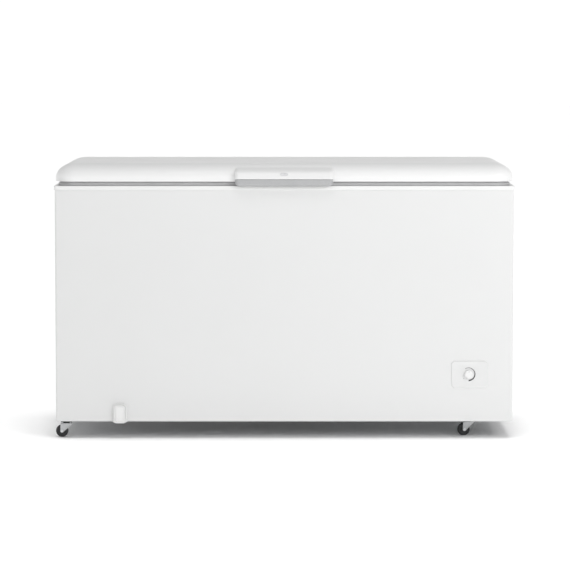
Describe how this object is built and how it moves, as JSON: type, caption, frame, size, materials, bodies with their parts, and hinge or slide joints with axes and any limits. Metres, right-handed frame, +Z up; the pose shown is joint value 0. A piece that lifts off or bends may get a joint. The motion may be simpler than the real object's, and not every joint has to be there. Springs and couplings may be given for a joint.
{
  "type": "chest freezer",
  "caption": "Wide white chest freezer on swivel casters, with a counter-sprung lid, magnetic gasket, front handle, thermostat knob, front drain outlet and a sliding wire basket",
  "frame": {"origin": "on the floor, under the centre of the freezer's bounding box", "axes": "X runs along the freezer's width with the control knob on the +X side, Y runs front to back with the handle on the -Y side, Z is up"},
  "size_m": [1.586, 0.746, 0.951],
  "materials": {
    "body_paint": "satin",
    "lid_white": "satin",
    "white_plastic": "satin",
    "grip_grey": "satin",
    "gasket": "matte",
    "foam": "matte",
    "liner": "satin",
    "coil_tube": "satin",
    "zinc_steel": "satin",
    "bright_steel": "satin",
    "caster_steel": "satin",
    "spring_steel": "satin",
    "black_paint": "gloss",
    "black_plastic": "satin",
    "grey_plastic": "satin",
    "rubber": "matte",
    "copper": "satin",
    "badge": "satin",
    "wheel": "satin",
    "wire": "satin"
  },
  "bodies": {
    "cabinet": {"front_panel": "body_paint", "left_side_panel": "body_paint", "right_side_panel": "body_paint", "rear_panel": "body_paint", "bottom_panel": "zinc_steel", "cabinet_foam": "foam", "inner_liner": "liner", "top_frame": "white_plastic", "basket_rail": "white_plastic", "evaporator_coil": "coil_tube", "condenser_coil": "coil_tube", "compressor_base": "zinc_steel", "compressor": "black_paint", "compressor_grommets": "rubber", "compressor_bolts": "zinc_steel", "relay_cover": "black_plastic", "filter_drier": "copper", "refrigerant_pipes": "copper", "thermostat_body": "grey_plastic", "control_bezel": "white_plastic", "rear_grille": "grey_plastic", "drain_housing": "white_plastic", "drain_tube": "white_plastic", "cable_gland": "black_plastic", "hinge_base_left": "zinc_steel", "hinge_base_right": "zinc_steel", "hinge_pins": "bright_steel", "hinge_springs": "spring_steel", "hinge_cover_left": "white_plastic", "hinge_cover_right": "white_plastic", "cabinet_screws": "bright_steel", "caster_plates": "black_paint", "caster_screws": "bright_steel"},
    "lid": {"lid_shell": "lid_white", "lid_foam": "foam", "lid_liner": "white_plastic", "lid_gasket": "gasket", "handle_housing": "lid_white", "handle_grip": "grip_grey", "badge_plate": "badge", "hinge_arm_left": "zinc_steel", "hinge_arm_right": "zinc_steel", "lid_screws": "bright_steel"},
    "knob": {"thermostat_knob": "white_plastic"},
    "drain_outlet": {"drain_cap": "white_plastic"},
    "tub_plug": {"drain_plug": "grey_plastic"},
    "basket": {"basket": "wire"},
    "caster_front_left": {"fork_front_left": "caster_steel", "axle_front_left": "bright_steel"},
    "caster_front_right": {"fork_front_right": "caster_steel", "axle_front_right": "bright_steel"},
    "caster_rear_left": {"fork_rear_left": "caster_steel", "axle_rear_left": "bright_steel"},
    "caster_rear_right": {"fork_rear_right": "caster_steel", "axle_rear_right": "bright_steel"},
    "wheel_front_left": {"wheel_front_left": "wheel"},
    "wheel_front_right": {"wheel_front_right": "wheel"},
    "wheel_rear_left": {"wheel_rear_left": "wheel"},
    "wheel_rear_right": {"wheel_rear_right": "wheel"}
  },
  "joints": [
    {"name": "lid_hinge", "type": "hinge", "parent": "cabinet", "child": "lid", "pos_m": [0, 0.357, 0.885], "axis": [-1, 0, 0], "range_deg": [0, 80], "stiffness_Nm_per_rad": 23, "springref_deg": 100.27},
    {"name": "knob_turn", "type": "hinge", "parent": "cabinet", "child": "knob", "pos_m": [0.638, -0.358, 0.224], "axis": [0, 1, 0], "range_deg": [0, 270]},
    {"name": "drain_pull", "type": "slide", "parent": "cabinet", "child": "drain_outlet", "axis": [0, -1, 0], "range_m": [0, 0.03]},
    {"name": "plug_lift", "type": "slide", "parent": "cabinet", "child": "tub_plug", "axis": [0, 0, 1], "range_m": [0, 0.06]},
    {"name": "basket_slide", "type": "slide", "parent": "cabinet", "child": "basket", "axis": [1, 0, 0], "range_m": [0, 1.12]},
    {"name": "swivel_front_left", "type": "hinge", "parent": "cabinet", "child": "caster_front_left", "pos_m": [-0.756, -0.3, 0.05], "axis": [0, 0, 1], "continuous": true},
    {"name": "swivel_front_right", "type": "hinge", "parent": "cabinet", "child": "caster_front_right", "pos_m": [0.6404, -0.256, 0.05], "axis": [0, 0, 1], "continuous": true},
    {"name": "swivel_rear_left", "type": "hinge", "parent": "cabinet", "child": "caster_rear_left", "pos_m": [-0.756, 0.3, 0.05], "axis": [0, 0, 1], "continuous": true},
    {"name": "swivel_rear_right", "type": "hinge", "parent": "cabinet", "child": "caster_rear_right", "pos_m": [0.6404, 0.3, 0.05], "axis": [0, 0, 1], "continuous": true},
    {"name": "roll_front_left", "type": "hinge", "parent": "caster_front_left", "child": "wheel_front_left", "pos_m": [-0.7715, -0.3, 0.02145], "axis": [0, 1, 0], "continuous": true},
    {"name": "roll_front_right", "type": "hinge", "parent": "caster_front_right", "child": "wheel_front_right", "pos_m": [0.62543, -0.26001, 0.02145], "axis": [-0.2588, 0.9659, 0], "continuous": true},
    {"name": "roll_rear_left", "type": "hinge", "parent": "caster_rear_left", "child": "wheel_rear_left", "pos_m": [-0.7715, 0.3, 0.02145], "axis": [0, 1, 0], "continuous": true},
    {"name": "roll_rear_right", "type": "hinge", "parent": "caster_rear_right", "child": "wheel_rear_right", "pos_m": [0.6249, 0.3, 0.02145], "axis": [0, 1, 0], "continuous": true}
  ]
}
